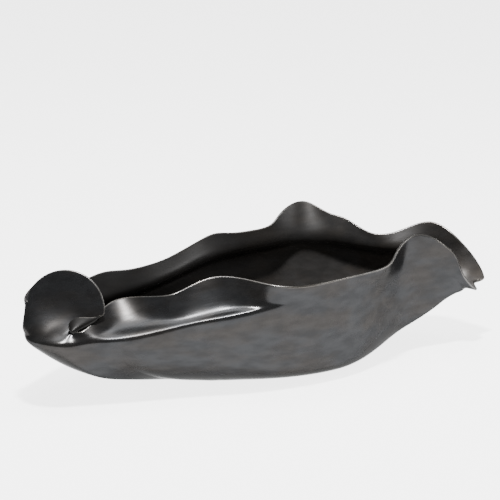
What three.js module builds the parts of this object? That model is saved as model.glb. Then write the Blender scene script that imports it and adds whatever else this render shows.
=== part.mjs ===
// Freeform boat-shaped ceramic bowl, made as one thin fired wall.
// Millimetres, +Z up. The origin is the centre of the flat oval foot that the bowl stands on.
// -Y is the front, with the low scooped collar. -X is the end with the round cupped petal,
// and +X is the raised end, which narrows to a spout with two tips.
import * as THREE from 'three';

// ---- wall ------------------------------------------------------------------
const WALL_AT_FOOT = 6.5;   // thickness of the floor
const WALL_AT_RIM = 3.4;    // thickness of the edge
const RIM_CROWN = 1.2;      // how far the rounded edge stands out past the wall
const STATIONS = 144;       // columns of faces round the bowl
const ROWS = 16;            // rows of faces from the foot to the edge, on each side

// ---- foot and hull ---------------------------------------------------------
const FOOT = { halfLength: 108, halfWidth: 40, turn: -8 };   // flat oval, turned in degrees
// The keel line lifts clear of the table towards both ends. The stern lifts gently at first,
// dips under a rounded chin and then climbs to the petal.
const LIFTS = [
  { from: 70, to: 232, power: 2, rise: 62 },
  { from: -70, to: -284, power: 1, rise: 28 },
  { from: -210, to: -284, power: 1.1, rise: 43.5 },
];
const CHIN_HOLLOW = { middle: -184, reach: 26, rise: 3 };   // the shallow hollow just in front of the chin
// Rows between the foot and the shoulder, as shares of the way out and of the way up, at the
// lean stern and at the full bow.
const HULL_ROWS = [
  { stern: [0.25, 0.02], bow: [0.34, 0.00] },
  { stern: [0.50, 0.14], bow: [0.77, 0.06] },
  { stern: [0.73, 0.38], bow: [0.93, 0.21] },
  { stern: [0.90, 0.70], bow: [0.99, 0.58] },
];
const FULLER_BETWEEN = [-150, 120];   // x where the hull starts and ends getting fuller
// The ledge above the shoulder, as shares of the way in and up to the neck.
const LEDGE = { inward: 0.45, up: 0.6 };
const LIP_HEIGHT = 0.5;          // where the lip row lies between neck and edge

// ---- petal: a round cupped disc that stands up at the stern and leans back ---
// Its cup is how far it hollows, as a share of the height of the wall there.
const PETAL = { centre: [-239, -30, 105], radius: 43, lean: 28, faces: -28, cup: 0.14 };
const PETAL_ARC = { from: 170, to: 12, points: 10 };   // degrees round its circle
// The petal's edge over the notch beside it, as steps right of and up from its centre.
const PETAL_NOTCH = [[43, -4], [34, -8], [24, -9], [12, -11]];

// ---- the edge, as points it passes through -----------------------------------
// Anticlockwise seen from above. The front starts at the corner of the notch.
const FRONT_RIM = [
  [-238, -44, 88], [-231, -55, 86], [-219, -53, 90], [-205, -45, 98], [-188, -31, 105],
  [-168, -29, 109], [-146, -45, 112], [-127, -61, 116], [-106, -60, 122], [-87, -60, 128],
  [-69, -66, 131], [-50, -80, 130], [-32, -99, 127], [-10, -112, 124], [18, -112, 122],
  [50, -104, 121], [82, -94, 120], [112, -84, 119], [135, -74, 121], [151, -60, 129],
  [167, -48, 136], [183, -42, 140], [199, -45, 138], [214, -51, 128],
];
const SPOUT_RIM = [
  [228, -51, 116], [235, -52, 102], [242, -55, 84], [263, -46, 65], [264, -36, 71],
  [282, -28, 70], [279, -23, 86], [273, -13, 100], [263, -5, 114],
];
const BACK_RIM = [
  [254, 10, 125], [242, 26, 131], [224, 36, 127], [202, 42, 119], [182, 50, 117],
  [169, 66, 122], [156, 84, 131], [141, 98, 135], [126, 118, 144], [106, 122, 145],
  [82, 111, 138], [66, 104, 127], [42, 103, 124], [18, 105, 123], [-2, 108, 124],
  [-22, 104, 120], [-46, 94, 115], [-76, 82, 109], [-105, 73, 107], [-130, 70, 106],
  [-155, 70, 107], [-180, 62, 104], [-210, 50, 99], [-238, 28, 99], [-262, 8, 104],
];

// ---- the narrow neck under the edge, one point for every second edge point ---
const NECK = [
  [-236, -54, 81], [-215, -62, 83], [-184, -55, 85], [-146, -66, 89], [-108, -80, 95],
  [-70, -86, 100], [-35, -102, 106], [15, -108, 108], [78, -93, 109], [132, -73, 108],
  [167, -46, 114], [198, -45, 112], [223, -48, 100], [240, -49, 78], [257, -35, 67],
  [266, -18, 80], [251, 2, 98], [232, 22, 108], [202, 30, 104], [172, 54, 104],
  [142, 80, 108], [105, 101, 110], [68, 98, 108], [20, 98, 105], [-22, 92, 101],
  [-74, 70, 93], [-128, 56, 86], [-175, 46, 82], [-235, 28, 82], [-277, -6, 84],
  [-281, -22, 84], [-271, -35, 82], [-262, -40, 82], [-254, -45, 82], [-248, -48, 82],
  [-242, -51, 82],
];

// ---- the rounded shoulder, one point for every fourth edge point --------------
const SHOULDER = [
  [-236, -62, 72], [-180, -78, 78], [-106, -92, 90], [-32, -108, 99], [82, -93, 97],
  [168, -47, 89], [226, -45, 81], [251, -35, 63], [246, 6, 84], [206, 44, 88],
  [147, 94, 92], [70, 116, 92], [-20, 110, 86], [-128, 74, 72], [-232, 41, 67],
  [-276, -5, 73], [-281, -34, 74], [-259, -57, 73],
];

const radians = (degrees) => (degrees * Math.PI) / 180;
const add = (a, b, k = 1) => a.map((value, i) => value + k * b[i]);
const mix = (a, b, t) => a.map((value, i) => value + t * (b[i] - value));

// The petal's own axes: the way it faces, its right and its up.
const petalLean = radians(PETAL.lean);
const petalTurn = radians(PETAL.faces);
const petalFace = [
  Math.sin(petalTurn) * Math.cos(petalLean),
  -Math.cos(petalTurn) * Math.cos(petalLean),
  Math.sin(petalLean),
];
const petalRight = [Math.cos(petalTurn), Math.sin(petalTurn), 0];
const petalUp = new THREE.Vector3(...petalFace).cross(new THREE.Vector3(...petalRight)).toArray();

const onPetal = (right, up) => add(add(PETAL.centre, petalRight, right), petalUp, up);

function petalRim() {
  const points = [];
  for (let i = 0; i < PETAL_ARC.points; i += 1) {
    const share = i / (PETAL_ARC.points - 1);
    const angle = radians(PETAL_ARC.from + share * (PETAL_ARC.to - PETAL_ARC.from));
    points.push(onPetal(PETAL.radius * Math.cos(angle), PETAL.radius * Math.sin(angle)));
  }
  for (const [right, up] of PETAL_NOTCH) points.push(onPetal(right, up));
  return points;
}

// Weights of four neighbouring controls of a uniform cubic curve.
function weights(t) {
  return [
    (1 - t) ** 3 / 6,
    (3 * t ** 3 - 6 * t ** 2 + 4) / 6,
    (-3 * t ** 3 + 3 * t ** 2 + 3 * t + 1) / 6,
    t ** 3 / 6,
  ];
}

const blend = (controls, t) => weights(t).reduce((sum, w, k) => add(sum, controls[k], w), [0, 0, 0]);

// Closed smooth curve through the given points. Its controls start on the points and are
// pushed out twice by what the curve misses them by.
function closedCurve(points) {
  const count = points.length;
  const at = (list, i) => list[(i + count) % count];
  let controls = points;
  for (let pass = 0; pass < 2; pass += 1) {
    const now = controls;
    controls = now.map((control, i) => {
      const reached = blend([at(now, i - 1), control, at(now, i + 1), control], 0);
      return add(add(control, points[i]), reached, -1);
    });
  }
  return (u) => {
    const place = (u - Math.floor(u)) * count;
    const i = Math.floor(place);
    return blend([at(controls, i - 1), at(controls, i), at(controls, i + 1), at(controls, i + 2)], place - i);
  };
}

// Open smooth curve that starts at the first control and ends at the last.
function openCurve(controls, v) {
  const last = controls.length - 1;
  const padded = [
    controls[0].map((value, i) => 2 * value - controls[1][i]),
    ...controls,
    controls[last].map((value, i) => 2 * value - controls[last - 1][i]),
  ];
  const place = Math.min(Math.max(v, 0), 1) * last;
  const i = Math.min(Math.floor(place), last - 1);
  return blend(padded.slice(i, i + 4), place - i);
}

const rim = [...FRONT_RIM, ...SPOUT_RIM, ...BACK_RIM, ...petalRim()];
const rimCurve = closedCurve(rim);
const neckCurve = closedCurve(NECK);
const shoulderCurve = closedCurve(SHOULDER);
const petalStart = (FRONT_RIM.length + SPOUT_RIM.length + BACK_RIM.length - 1) / rim.length;

function keelHeight(x) {
  let height = 0;
  for (const lift of LIFTS) {
    const share = THREE.MathUtils.clamp((x - lift.from) / (lift.to - lift.from), 0, 1);
    height += lift.rise * share ** lift.power;
  }
  const aside = Math.min(1, Math.abs(x - CHIN_HOLLOW.middle) / CHIN_HOLLOW.reach);
  return height + CHIN_HOLLOW.rise * Math.cos((aside * Math.PI) / 2) ** 2;
}

// The point of the foot's oval that lies towards the shoulder point.
function footPoint([x, y]) {
  const turn = radians(FOOT.turn);
  const cos = Math.cos(turn);
  const sin = Math.sin(turn);
  const angle = Math.atan2((cos * y - sin * x) / FOOT.halfWidth, (cos * x + sin * y) / FOOT.halfLength);
  const along = FOOT.halfLength * Math.cos(angle);
  const across = FOOT.halfWidth * Math.sin(angle);
  return [cos * along - sin * across, sin * along + cos * across, 0];
}

// The controls of the wall's section at u, from the foot up to the edge.
function section(u) {
  const shoulder = shoulderCurve(u);
  const neck = neckCurve(u);
  const edge = rimCurve(u);
  const foot = footPoint(shoulder);
  const fuller = THREE.MathUtils.smoothstep(shoulder[0], ...FULLER_BETWEEN);
  const hull = HULL_ROWS.map((row) => {
    const [out, up] = mix(row.stern, row.bow, fuller);
    const [x, y] = mix(foot, shoulder, out);
    return [x, y, keelHeight(x) + up * (shoulder[2] - keelHeight(shoulder[0]))];
  });
  const ledge = mix(shoulder, neck, LEDGE.inward);
  ledge[2] = shoulder[2] + LEDGE.up * (neck[2] - shoulder[2]);
  const round = Math.max(0, (u - petalStart) / (1 - petalStart));
  const height = Math.hypot(...add(edge, neck, -1));
  const cup = PETAL.cup * height * Math.sin(Math.PI * round) ** 2;
  const lip = add(mix(neck, edge, LIP_HEIGHT), petalFace, -cup);
  return [foot, ...hull, shoulder, ledge, neck, lip, edge];
}

const wallPoint = (u, v) => openCurve(section(((u % 1) + 1) % 1), v);

// Unit vectors square to the wall, outwards, and along it, upwards.
function wallDirections(u, v) {
  const du = 0.0015;
  const dv = 0.004;
  const along = new THREE.Vector3(...wallPoint(u + du, v)).sub(new THREE.Vector3(...wallPoint(u - du, v)));
  const up = new THREE.Vector3(...wallPoint(u, Math.min(1, v + dv)));
  up.sub(new THREE.Vector3(...wallPoint(u, Math.max(0, v - dv)))).normalize();
  return { out: along.cross(up).normalize().toArray(), up: up.toArray() };
}

// Grid rows from the middle of the underside, up the outside, over the edge and down inside.
function bowlRows() {
  const outside = [];
  const inside = [];
  for (let row = 0; row <= ROWS; row += 1) {
    const v = row / ROWS;
    const thickness = WALL_AT_FOOT + v * (WALL_AT_RIM - WALL_AT_FOOT);
    const outer = [];
    const inner = [];
    for (let i = 0; i < STATIONS; i += 1) {
      const point = wallPoint(i / STATIONS, v);
      outer.push(point);
      // At the foot the inside is straight above the outside.
      const out = row === 0 ? [0, 0, -1] : wallDirections(i / STATIONS, v).out;
      inner.push(add(point, out, -thickness));
    }
    outside.push(outer);
    inside.push(inner);
  }
  const crown = outside[ROWS].map((point, i) => {
    const middle = mix(point, inside[ROWS][i], 0.5);
    return add(middle, wallDirections(i / STATIONS, 1).up, RIM_CROWN);
  });
  return [...outside, crown, ...inside.reverse()];
}

// Closed skin over the rows, with a fan to a middle point at each end.
function skin(rows, first, last) {
  const points = [...rows.flat(), first, last];
  const at = (row, i) => row * STATIONS + (i % STATIONS);
  const faces = [];
  for (let i = 0; i < STATIONS; i += 1) {
    faces.push(points.length - 2, at(0, i + 1), at(0, i));
    faces.push(points.length - 1, at(rows.length - 1, i), at(rows.length - 1, i + 1));
    for (let row = 0; row + 1 < rows.length; row += 1) {
      faces.push(at(row, i), at(row, i + 1), at(row + 1, i + 1));
      faces.push(at(row, i), at(row + 1, i + 1), at(row + 1, i));
    }
  }
  const geometry = new THREE.BufferGeometry();
  geometry.setAttribute('position', new THREE.Float32BufferAttribute(points.flat(), 3));
  geometry.setIndex(faces);
  geometry.computeVertexNormals();
  return geometry;
}

const glaze = new THREE.MeshStandardMaterial({ color: 0x2b2928, metalness: 0.6, roughness: 0.35 });
const bowl = new THREE.Mesh(skin(bowlRows(), [0, 0, 0], [0, 0, WALL_AT_FOOT]), glaze);
bowl.name = 'bowl';

const part = new THREE.Group();
part.name = 'sculptural_bowl';
part.add(bowl);

export default part;
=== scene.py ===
"""Looks of the freeform ceramic bowl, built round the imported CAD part.

The wall is made again from the part's own edge, neck and shoulder points, on a finer grid, with
a satin gunmetal glaze. Sizes are in millimetres until the mesh is made, and +Z is up.
"""
import math

import bpy
import numpy as np
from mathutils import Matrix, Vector


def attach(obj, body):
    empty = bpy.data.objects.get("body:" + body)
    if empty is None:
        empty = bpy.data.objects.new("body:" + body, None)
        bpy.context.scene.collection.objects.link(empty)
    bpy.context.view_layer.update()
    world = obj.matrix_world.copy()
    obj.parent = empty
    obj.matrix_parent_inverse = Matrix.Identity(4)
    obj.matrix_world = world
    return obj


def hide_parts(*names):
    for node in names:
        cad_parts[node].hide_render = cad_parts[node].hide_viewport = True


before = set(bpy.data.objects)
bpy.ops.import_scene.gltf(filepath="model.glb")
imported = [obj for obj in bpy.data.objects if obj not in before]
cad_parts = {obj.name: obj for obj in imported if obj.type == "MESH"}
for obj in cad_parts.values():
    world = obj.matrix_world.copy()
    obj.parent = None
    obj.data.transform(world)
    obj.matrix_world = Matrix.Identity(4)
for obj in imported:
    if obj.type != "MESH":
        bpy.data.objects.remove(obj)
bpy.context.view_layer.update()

MM = 0.001

# ---- wall -------------------------------------------------------------------
WALL_AT_FOOT = 6.5       # thickness of the floor
WALL_AT_RIM = 3.0        # thickness of the edge, a little thinner than in the CAD
STATIONS = 864           # columns of faces round the bowl
ROWS = 110               # rows of faces from the foot to the edge, on each side
CROWN_ROWS = 5           # rows over the rounded edge
FLOOR_BLEND = 0.18       # share of the way up the wall, where the inside turns into the floor
FLOOR_RINGS = 24         # rings of faces across the flat foot
CURVE_FITS = 2           # how many times a closed curve is corrected towards its points
TINY = 1e-9              # shortest length that a vector is divided by

# ---- foot and hull ----------------------------------------------------------
FOOT_HALF_LENGTH = 108
FOOT_HALF_WIDTH = 40
FOOT_TURN = math.radians(-8)
# The keel line lifts towards both ends: from x, to x, power, rise.
LIFTS = [(70, 232, 2, 62), (-70, -284, 1, 28), (-210, -284, 1.1, 43.5)]
CHIN_HOLLOW = (-184, 26, 3)         # middle, reach and rise of the hollow before the chin
# Rows between foot and shoulder, as shares of the way out and up, at the stern and at the bow.
HULL_ROWS = [
    ((0.25, 0.02), (0.34, 0.00)),
    ((0.50, 0.14), (0.77, 0.06)),
    ((0.73, 0.38), (0.93, 0.21)),
    ((0.90, 0.70), (0.99, 0.58)),
]
FULLER_FROM, FULLER_TO = -150, 120   # x where the hull starts and ends getting fuller
LEDGE_INWARD, LEDGE_UP = 0.45, 0.6   # the ledge above the shoulder, as shares of the way to the neck
LIP_HEIGHT = 0.5                     # where the lip row lies between neck and edge

# ---- petal ------------------------------------------------------------------
PETAL_CENTRE = (-239, -30, 105)
PETAL_RADIUS = 43
PETAL_LEAN = math.radians(28)
PETAL_FACES = math.radians(-28)
PETAL_CUP = 0.14                     # how far it hollows, as a share of the wall's height there
PETAL_ARC = np.radians(np.linspace(170, 12, 10))
PETAL_NOTCH = [(43, -4), (34, -8), (24, -9), (12, -11)]   # steps right of and up from its centre

# ---- the edge, as points it runs close to, anticlockwise seen from above --------
FRONT_RIM = [
    (-238, -44, 88), (-231, -55, 86), (-219, -53, 90), (-205, -45, 98), (-188, -31, 105),
    (-168, -29, 109), (-146, -45, 112), (-127, -61, 116), (-106, -60, 122), (-87, -60, 128),
    (-69, -66, 131), (-50, -80, 130), (-32, -99, 127), (-10, -112, 124), (18, -112, 122),
    (50, -104, 121), (82, -94, 120), (112, -84, 119), (135, -74, 121), (151, -60, 129),
    (167, -48, 136), (183, -42, 140), (199, -45, 138), (214, -51, 128),
]
SPOUT_RIM = [
    (228, -51, 116), (235, -52, 102), (242, -55, 84), (263, -46, 65), (264, -36, 71),
    (282, -28, 70), (279, -23, 86), (273, -13, 100), (263, -5, 114),
]
BACK_RIM = [
    (254, 10, 125), (242, 26, 131), (224, 36, 127), (202, 42, 119), (182, 50, 117),
    (169, 66, 122), (156, 84, 131), (141, 98, 135), (126, 118, 144), (106, 122, 145),
    (82, 111, 138), (66, 104, 127), (42, 103, 124), (18, 105, 123), (-2, 108, 124),
    (-22, 104, 120), (-46, 94, 115), (-76, 82, 109), (-105, 73, 107), (-130, 70, 106),
    (-155, 70, 107), (-180, 62, 104), (-210, 50, 99), (-238, 28, 99), (-262, 8, 104),
]

# ---- the neck under the edge and the shoulder below it -------------------------
NECK = [
    (-236, -54, 81), (-215, -62, 83), (-184, -55, 85), (-146, -66, 89), (-108, -80, 95),
    (-70, -86, 100), (-35, -102, 106), (15, -108, 108), (78, -93, 109), (132, -73, 108),
    (167, -46, 114), (198, -45, 112), (223, -48, 100), (240, -49, 78), (257, -35, 67),
    (266, -18, 80), (251, 2, 98), (232, 22, 108), (202, 30, 104), (172, 54, 104),
    (142, 80, 108), (105, 101, 110), (68, 98, 108), (20, 98, 105), (-22, 92, 101),
    (-74, 70, 93), (-128, 56, 86), (-175, 46, 82), (-235, 28, 82), (-277, -6, 84),
    (-281, -22, 84), (-271, -35, 82), (-262, -40, 82), (-254, -45, 82), (-248, -48, 82),
    (-242, -51, 82),
]
SHOULDER = [
    (-236, -62, 72), (-180, -78, 78), (-106, -92, 90), (-32, -108, 99), (82, -93, 97),
    (168, -47, 89), (226, -45, 81), (251, -35, 63), (246, 6, 84), (206, 44, 88),
    (147, 94, 92), (70, 116, 92), (-20, 110, 86), (-128, 74, 72), (-232, 41, 67),
    (-276, -5, 73), (-281, -34, 74), (-259, -57, 73),
]


def bspline(controls, place):
    """Points of a uniform cubic curve at each place, which counts in controls."""
    i = np.clip(np.floor(place).astype(int), 0, len(controls) - 4)
    t = (place - i)[:, None]
    weights = (
        (1 - t) ** 3 / 6,
        (3 * t ** 3 - 6 * t ** 2 + 4) / 6,
        (-3 * t ** 3 + 3 * t ** 2 + 3 * t + 1) / 6,
        t ** 3 / 6,
    )
    flat = controls.reshape(len(controls), -1)
    points = sum(w * flat[i + k] for k, w in enumerate(weights))
    return points.reshape((len(place),) + controls.shape[1:])


def closed_curve(points, u):
    """Closed smooth curve that runs close to the points, at shares u of the way round."""
    points = np.array(points, float)
    controls = points
    for _ in range(CURVE_FITS):
        reached = (np.roll(controls, 1, 0) + 4 * controls + np.roll(controls, -1, 0)) / 6
        controls = controls + points - reached
    padded = np.concatenate([controls[-1:], controls, controls[:2]])
    return bspline(padded, u * len(points))


def open_curve(controls, v):
    """Open smooth curve that starts at the first control and ends at the last, at shares v."""
    before = 2 * controls[0] - controls[1]
    after = 2 * controls[-1] - controls[-2]
    padded = np.concatenate([before[None], controls, after[None]])
    return bspline(padded, v * (len(controls) - 1))


def smoothstep(low, high, x):
    """Rises smoothly from 0 at low to 1 at high."""
    t = np.clip((x - low) / (high - low), 0, 1)
    return t * t * (3 - 2 * t)


def unit(vectors):
    return vectors / np.maximum(np.linalg.norm(vectors, axis=-1, keepdims=True), TINY)


# The petal's own axes: the way it faces, its right and its up.
PETAL_FACE = np.array([
    math.sin(PETAL_FACES) * math.cos(PETAL_LEAN),
    -math.cos(PETAL_FACES) * math.cos(PETAL_LEAN),
    math.sin(PETAL_LEAN),
])
PETAL_RIGHT = np.array([math.cos(PETAL_FACES), math.sin(PETAL_FACES), 0])
PETAL_UP = np.cross(PETAL_FACE, PETAL_RIGHT)


def on_petal(right, up):
    """The point right of and up from the petal's centre, in its own plane."""
    return tuple(np.array(PETAL_CENTRE) + right * PETAL_RIGHT + up * PETAL_UP)


def rim_points():
    """All the points of the edge, once round, ending with the petal and the notch beside it."""
    arc = [on_petal(PETAL_RADIUS * math.cos(a), PETAL_RADIUS * math.sin(a)) for a in PETAL_ARC]
    notch = [on_petal(right, up) for right, up in PETAL_NOTCH]
    return FRONT_RIM + SPOUT_RIM + BACK_RIM + arc + notch


def keel_height(x):
    """Height of the keel line above the table, along the bowl."""
    height = np.zeros_like(x)
    for start, end, power, rise in LIFTS:
        height += rise * np.clip((x - start) / (end - start), 0, 1) ** power
    middle, reach, rise = CHIN_HOLLOW
    aside = np.minimum(1, np.abs(x - middle) / reach)
    return height + rise * np.cos(aside * math.pi / 2) ** 2


def foot_points(shoulder):
    """Points of the foot's oval that lie towards the shoulder points."""
    cos, sin = math.cos(FOOT_TURN), math.sin(FOOT_TURN)
    x, y = shoulder[:, 0], shoulder[:, 1]
    angle = np.arctan2((cos * y - sin * x) / FOOT_HALF_WIDTH, (cos * x + sin * y) / FOOT_HALF_LENGTH)
    along = FOOT_HALF_LENGTH * np.cos(angle)
    across = FOOT_HALF_WIDTH * np.sin(angle)
    return np.stack([cos * along - sin * across, sin * along + cos * across, 0 * angle], -1)


def sections(u):
    """Controls of the wall's section at every u, from the foot up to the edge: (10, u, 3)."""
    rim = rim_points()
    shoulder = closed_curve(SHOULDER, u)
    neck = closed_curve(NECK, u)
    edge = closed_curve(rim, u)
    foot = foot_points(shoulder)
    fuller = smoothstep(FULLER_FROM, FULLER_TO, shoulder[:, 0])
    rows = [foot]
    for (stern_out, stern_up), (bow_out, bow_up) in HULL_ROWS:
        out = stern_out + (bow_out - stern_out) * fuller
        up = stern_up + (bow_up - stern_up) * fuller
        row = foot + out[:, None] * (shoulder - foot)
        row[:, 2] = keel_height(row[:, 0]) + up * (shoulder[:, 2] - keel_height(shoulder[:, 0]))
        rows.append(row)
    ledge = shoulder + LEDGE_INWARD * (neck - shoulder)
    ledge[:, 2] = shoulder[:, 2] + LEDGE_UP * (neck[:, 2] - shoulder[:, 2])
    petal_start = (len(FRONT_RIM) + len(SPOUT_RIM) + len(BACK_RIM) - 1) / len(rim)
    round_petal = np.maximum(0, (u - petal_start) / (1 - petal_start))
    height = np.linalg.norm(edge - neck, axis=-1)
    cup = PETAL_CUP * height * np.sin(math.pi * round_petal) ** 2
    lip = neck + LIP_HEIGHT * (edge - neck) - cup[:, None] * PETAL_FACE
    return np.array(rows + [shoulder, ledge, neck, lip, edge])


def wall_grid():
    """Rows of points that follow the whole wall.

    They run from the middle of the underside out over the foot, up the outside, over the rounded
    edge, down the inside and in across the floor.
    """
    u = np.arange(STATIONS) / STATIONS
    v = np.linspace(0, 1, ROWS + 1)
    outer = open_curve(sections(u), v)
    along = np.roll(outer, -1, 1) - np.roll(outer, 1, 1)
    up = unit(np.gradient(outer, axis=0))
    out = unit(np.cross(along, up))
    thickness = (WALL_AT_FOOT + v * (WALL_AT_RIM - WALL_AT_FOOT))[:, None, None]
    # Near the foot the inside turns smoothly into the flat floor.
    turned = smoothstep(0, FLOOR_BLEND, v)[:, None, None]
    out = unit(turned * out + (1 - turned) * np.array([0, 0, -1]))
    inner = outer - out * thickness
    middle = (outer[-1] + inner[-1]) / 2
    half = WALL_AT_RIM / 2
    crown = []
    for k in range(1, CROWN_ROWS + 1):
        angle = math.pi * k / (CROWN_ROWS + 1)
        crown.append(middle + half * (math.cos(angle) * out[-1] + math.sin(angle) * up[-1]))
    foot_rings = [outer[0] * k / FLOOR_RINGS for k in range(1, FLOOR_RINGS)]
    floor_rings = [inner[0] * (k / FLOOR_RINGS, k / FLOOR_RINGS, 1) for k in range(FLOOR_RINGS - 1, 0, -1)]
    return [*foot_rings, *outer, *crown, *inner[::-1], *floor_rings]


# Places of the three mixes among the bowl's materials.
OUTSIDE, EDGE, INSIDE = 0, 1, 2


def wall_mesh():
    """The closed wall as one mesh, in metres."""
    grid = wall_grid()
    points = [tuple(p) for p in np.concatenate(grid) * MM]
    points += [(0, 0, 0), (0, 0, WALL_AT_FOOT * MM)]
    under, above = len(points) - 2, len(points) - 1
    top = (len(grid) - 1) * STATIONS
    faces = []
    for i in range(STATIONS):
        j = (i + 1) % STATIONS
        faces.append((under, j, i))
        faces.append((above, top + i, top + j))
        for row in range(0, top, STATIONS):
            faces.append((row + i, row + j, row + STATIONS + j, row + STATIONS + i))
    mesh = bpy.data.meshes.new("bowl_visual")
    mesh.from_pydata(points, [], faces)
    mesh.polygons.foreach_set("use_smooth", [True] * len(faces))
    # Each column's faces are its two at the middles, below and above, then one for each row.
    first_crown = FLOOR_RINGS - 1 + ROWS
    first_inside = first_crown + CROWN_ROWS + 1
    column = [OUTSIDE, INSIDE]
    column += [OUTSIDE] * first_crown
    column += [EDGE] * (first_inside - first_crown)
    column += [INSIDE] * (len(grid) - 1 - first_inside)
    mesh.polygons.foreach_set("material_index", column * STATIONS)
    mesh.update()
    return mesh


# ---- glaze --------------------------------------------------------------------
# Patterns in the glaze, with their fineness per metre, detail and squeeze along each axis, where
# less than 1 is a stretch.
CLOUDS = {"scale": 30, "detail": 6, "squeeze": (0.6, 1.2, 1.4)}     # greyer and browner patches
SPECKS = {"scale": 110, "detail": 7, "squeeze": (0.4, 1, 1.1)}      # lighter and darker mottling
SMUDGES = {"scale": 22, "detail": 3, "squeeze": (0.5, 1, 1)}        # shinier and duller patches
MARKS = {"scale": 170, "detail": 4, "squeeze": (0.16, 1, 1.2)}      # low marks along the bowl
# The part of each pattern's range over which it takes effect.
CLOUD_RANGE = (0.42, 0.62)
SPECK_RANGE = (0.36, 0.64)
SMUDGE_RANGE = (0.3, 0.7)
SPECK_SHADES = (0.84, 1.12)      # how much the mottling darkens and lightens the glaze
MARK_STRENGTH = 0.12
MARK_HEIGHT = 0.0008             # metres
SPECULAR_TINT = (0.3, 0.3, 0.3, 1)

# The bowl has one glaze. Three mixes of it stand in for light and shadow that this scene's lamps
# don't give: the edge mix is paler as a painted highlight, and the inside mix is paler and duller
# as painted light and darkens by place as painted shade.
OUTSIDE_MIX = {
    "neutral": (0.0212, 0.0216, 0.0226), "brown": (0.0224, 0.0211, 0.0203),
    "metallic": 0.8, "roughness": (0.20, 0.32), "stern_painted_shade": 1.0, "rim_painted_shade": 1.0,
}
# Paler than the glaze: a painted highlight along the rounded edge.
EDGE_PAINTED_HIGHLIGHT_MIX = {
    "neutral": (0.070, 0.068, 0.066), "brown": (0.064, 0.059, 0.054),
    "metallic": 0.8, "roughness": (0.20, 0.32), "stern_painted_shade": 1.0, "rim_painted_shade": 1.0,
}
# Paler and duller than the glaze as painted light inside, and darkened towards the petal end and the edge
# as painted shade.
INSIDE_PAINTED_LIGHT_AND_SHADE_MIX = {
    "neutral": (0.044, 0.042, 0.041), "brown": (0.046, 0.041, 0.037),
    "metallic": 0.35, "roughness": (0.32, 0.45), "stern_painted_shade": 0.12, "rim_painted_shade": 0.3,
}
STERN_FADE = (-0.14, 0.10)       # STERN_FADE = (-0.14, 0.10) # x in metres, from the full painted stern shade to none
RIM_FADE = (0.082, 0.112)        # RIM_FADE = (0.082, 0.112) # height in metres, from no painted rim shade to the full one


def noise(nodes, links, scale, detail, squeeze):
    """A noise texture in object space, squeezed along the object's axes."""
    place = nodes.new("ShaderNodeTexCoord")
    mapping = nodes.new("ShaderNodeMapping")
    mapping.inputs["Scale"].default_value = squeeze
    texture = nodes.new("ShaderNodeTexNoise")
    texture.inputs["Scale"].default_value = scale
    texture.inputs["Detail"].default_value = detail
    links.new(place.outputs["Object"], mapping.inputs["Vector"])
    links.new(mapping.outputs["Vector"], texture.inputs["Vector"])
    return texture.outputs["Fac"]


def ramp(nodes, links, source, given, result):
    """Maps the source from the given range to the result's range."""
    node = nodes.new("ShaderNodeMapRange")
    node.inputs["From Min"].default_value = given[0]
    node.inputs["From Max"].default_value = given[1]
    node.inputs["To Min"].default_value = result[0]
    node.inputs["To Max"].default_value = result[1]
    links.new(source, node.inputs["Value"])
    return node.outputs["Result"]


def mottled_colour(nodes, links, neutral, brown):
    """Patches of the two colours, with finer lighter and darker mottling over them."""
    tint = nodes.new("ShaderNodeMix")
    tint.data_type = "RGBA"
    tint.inputs["A"].default_value = (*neutral, 1)
    tint.inputs["B"].default_value = (*brown, 1)
    cloud = noise(nodes, links, **CLOUDS)
    links.new(ramp(nodes, links, cloud, CLOUD_RANGE, (0, 1)), tint.inputs["Factor"])
    level = ramp(nodes, links, noise(nodes, links, **SPECKS), SPECK_RANGE, SPECK_SHADES)
    grey = nodes.new("ShaderNodeCombineColor")
    for channel in ("Red", "Green", "Blue"):
        links.new(level, grey.inputs[channel])
    shade = nodes.new("ShaderNodeMix")
    shade.data_type = "RGBA"
    shade.blend_type = "MULTIPLY"
    shade.inputs["Factor"].default_value = 1.0
    links.new(tint.outputs["Result"], shade.inputs["A"])
    links.new(grey.outputs["Color"], shade.inputs["B"])
    return shade.outputs["Result"]


def painted_shade_by_place(nodes, links, colour, stern_painted_shade, rim_painted_shade):
    """The colour, darkened towards the petal end and towards the edge as painted shade."""
    place = nodes.new("ShaderNodeTexCoord")
    axes = nodes.new("ShaderNodeSeparateXYZ")
    links.new(place.outputs["Object"], axes.inputs["Vector"])
    both = nodes.new("ShaderNodeMath")
    both.operation = "MULTIPLY"
    links.new(ramp(nodes, links, axes.outputs["X"], STERN_FADE, (stern_painted_shade, 1)), both.inputs[0])
    links.new(ramp(nodes, links, axes.outputs["Z"], RIM_FADE, (1, rim_painted_shade)), both.inputs[1])
    darker = nodes.new("ShaderNodeVectorMath")
    darker.operation = "SCALE"
    links.new(colour, darker.inputs[0])
    links.new(both.outputs["Value"], darker.inputs["Scale"])
    return darker.outputs["Vector"]


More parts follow.
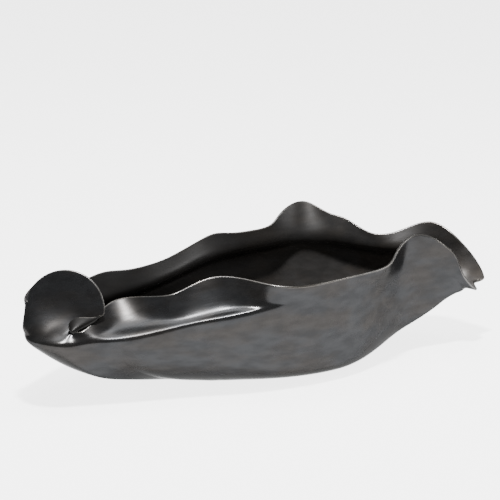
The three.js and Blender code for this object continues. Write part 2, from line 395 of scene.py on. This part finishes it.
def glaze_material(name, neutral, brown, metallic, roughness, stern_painted_shade, rim_painted_shade):
    """A satin glaze with patches, mottling, low marks and painted shade by place."""
    material = bpy.data.materials.new(name)
    material.use_nodes = True
    nodes, links = material.node_tree.nodes, material.node_tree.links
    shader = nodes["Principled BSDF"]
    shader.inputs["Metallic"].default_value = metallic
    shader.inputs["Specular Tint"].default_value = SPECULAR_TINT
    colour = mottled_colour(nodes, links, neutral, brown)
    # Painted shade: darker towards the petal end and towards the edge, where the mix asks for it.
    colour = painted_shade_by_place(nodes, links, colour, stern_painted_shade, rim_painted_shade)
    links.new(colour, shader.inputs["Base Color"])
    smudge = noise(nodes, links, **SMUDGES)
    links.new(ramp(nodes, links, smudge, SMUDGE_RANGE, roughness), shader.inputs["Roughness"])
    bump = nodes.new("ShaderNodeBump")
    bump.inputs["Strength"].default_value = MARK_STRENGTH
    bump.inputs["Distance"].default_value = MARK_HEIGHT
    links.new(noise(nodes, links, **MARKS), bump.inputs["Height"])
    links.new(bump.outputs["Normal"], shader.inputs["Normal"])
    return material


bowl = bpy.data.objects.new("bowl_visual", wall_mesh())
bpy.context.scene.collection.objects.link(bowl)
# In the order of OUTSIDE, EDGE and INSIDE.
bowl.data.materials.append(glaze_material("dark_glaze", **OUTSIDE_MIX))
bowl.data.materials.append(glaze_material("edge_painted_highlight_glaze", **EDGE_PAINTED_HIGHLIGHT_MIX))
bowl.data.materials.append(glaze_material("inside_painted_light_and_shade_glaze", **INSIDE_PAINTED_LIGHT_AND_SHADE_MIX))
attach(bowl, "root")
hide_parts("bowl")

# ---- floor ----------------------------------------------------------------------
FLOOR_RADIUS = 3.4
FLOOR_SIDES = 128
FLOOR_DROP = 0.0004      # metres below the foot, so that the two don't share a plane
FLOOR_DIFFUSE = 0.5
FLOOR_GLOW = 3.60        # light that the floor gives off by itself, which keeps it pale


def glow_material(name, diffuse, glow):
    """A matt grey that also gives off an even white light."""
    material = bpy.data.materials.new(name)
    material.use_nodes = True
    shader = material.node_tree.nodes["Principled BSDF"]
    shader.inputs["Base Color"].default_value = (diffuse, diffuse, diffuse, 1)
    shader.inputs["Roughness"].default_value = 1.0
    shader.inputs["Specular IOR Level"].default_value = 0.0
    shader.inputs["Emission Color"].default_value = (1, 1, 1, 1)
    shader.inputs["Emission Strength"].default_value = glow
    return material


bpy.ops.mesh.primitive_circle_add(
    vertices=FLOOR_SIDES,
    radius=FLOOR_RADIUS,
    fill_type="NGON",
    location=(0, 0, -FLOOR_DROP),
)
floor = bpy.context.object
floor.name = "floor"
floor.data.materials.append(glow_material("pale_floor", FLOOR_DIFFUSE, FLOOR_GLOW))

# ---- camera ----------------------------------------------------------------------
CAMERA_TURN = math.radians(-24)      # round from straight ahead of the front, towards the petal
CAMERA_RISE = math.radians(17)
CAMERA_DISTANCE = 2.4                # metres
AIM = Vector((-0.0073, -0.0035, 0.1366))
SENSOR_WIDTH = 36                    # mm
LENS = 153.4                         # mm
FARTHEST_SEEN = 20                   # metres

toward_camera = Vector((
    math.sin(CAMERA_TURN) * math.cos(CAMERA_RISE),
    -math.cos(CAMERA_TURN) * math.cos(CAMERA_RISE),
    math.sin(CAMERA_RISE),
))
camera = bpy.data.objects.new("camera", bpy.data.cameras.new("camera"))
bpy.context.scene.collection.objects.link(camera)
camera.location = AIM + CAMERA_DISTANCE * toward_camera
camera.rotation_euler = toward_camera.to_track_quat("Z", "Y").to_euler()
camera.data.sensor_width = SENSOR_WIDTH
camera.data.lens = LENS
camera.data.clip_end = FARTHEST_SEEN
bpy.context.scene.camera = camera

# ---- lamps ------------------------------------------------------------------------
# Each soft box: name, place, the point it faces, width and height, in metres, and watts.
SOFT_BOXES = [
    ("key", (-0.22, -0.42, 1.9), (-0.15, 0.0, 0.1), 0.20, 0.16, 110),
    ("overhead", (0.1, 0.35, 1.9), (0.0, 0.0, 0.05), 1.2, 0.7, 26),
    ("side", (1.3, -0.4, 0.9), (0.2, 0.0, 0.1), 0.4, 0.5, 14),
]
WORLD_GLOW = 0.36

for name, place, target, width, height, power in SOFT_BOXES:
    lamp = bpy.data.lights.new(name, "AREA")
    lamp.shape = "RECTANGLE"
    lamp.size = width
    lamp.size_y = height
    lamp.energy = power
    holder = bpy.data.objects.new(name, lamp)
    holder.location = place
    holder.rotation_euler = (Vector(place) - Vector(target)).to_track_quat("Z", "Y").to_euler()
    bpy.context.scene.collection.objects.link(holder)

world = bpy.data.worlds.new("world")
world.use_nodes = True
world.node_tree.nodes["Background"].inputs["Color"].default_value = (1, 1, 1, 1)
world.node_tree.nodes["Background"].inputs["Strength"].default_value = WORLD_GLOW
bpy.context.scene.world = world
